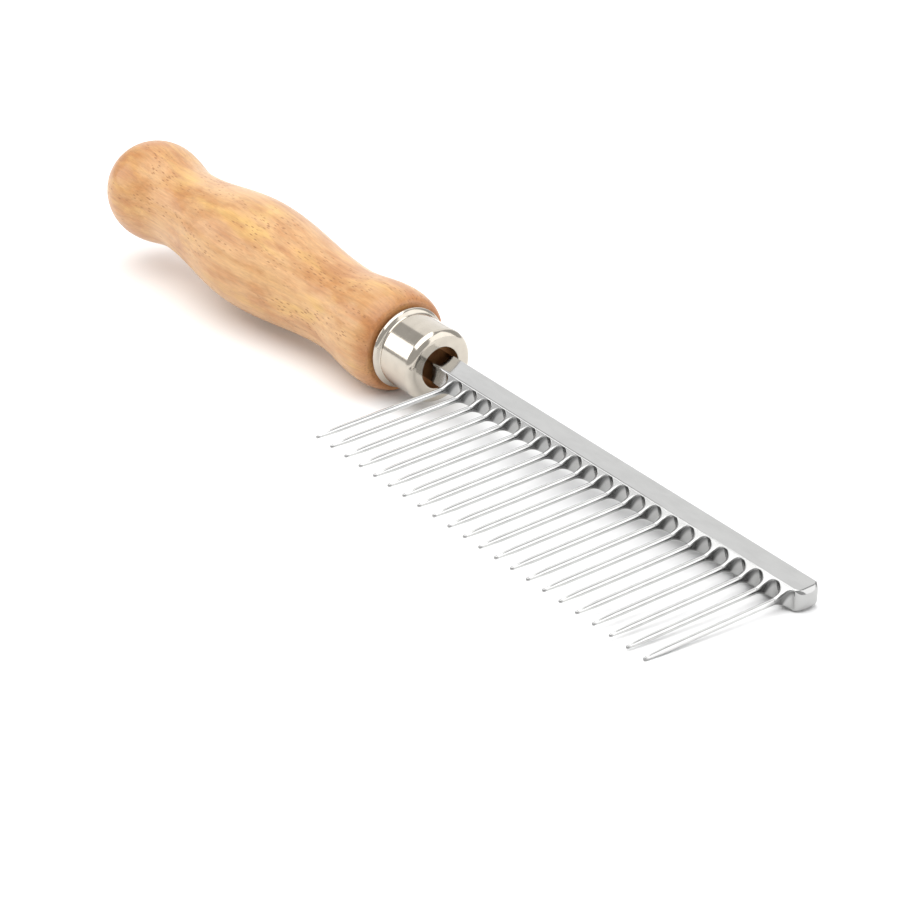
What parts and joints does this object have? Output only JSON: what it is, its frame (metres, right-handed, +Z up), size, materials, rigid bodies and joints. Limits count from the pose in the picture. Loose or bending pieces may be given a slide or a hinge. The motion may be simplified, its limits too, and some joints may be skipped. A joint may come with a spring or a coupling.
{
  "type": "sweater comb",
  "caption": "Metal comb with long round teeth in one row along a straight bar, set in a metal ferrule on a palm-shaped turned wooden handle.",
  "frame": {"origin": "On the table under the middle of the box that the comb fills as it lies; Z is zero at the table.", "axes": "+X runs along the comb from the butt of the handle to the nose of the bar, -Y is the side that the teeth point to, +Z is up."},
  "size_m": [0.2212, 0.0476, 0.0278],
  "materials": {
    "wood": "thin clear lacquer on pale turned hardwood",
    "ferrule_metal": "polished warm nickel plate",
    "steel": "satin polished nickel-plated steel"
  },
  "bodies": {
    "root": {"handle": "wood", "ferrule": "ferrule_metal", "spine": "steel", "tooth_01": "steel", "tooth_02": "steel", "tooth_03": "steel", "tooth_04": "steel", "tooth_05": "steel", "tooth_06": "steel", "tooth_07": "steel", "tooth_08": "steel", "tooth_09": "steel", "tooth_10": "steel", "tooth_11": "steel", "tooth_12": "steel", "tooth_13": "steel", "tooth_14": "steel", "tooth_15": "steel", "tooth_16": "steel", "tooth_17": "steel", "tooth_18": "steel", "tooth_19": "steel", "tooth_20": "steel", "tooth_21": "steel", "tooth_22": "steel"}
  },
  "joints": []
}
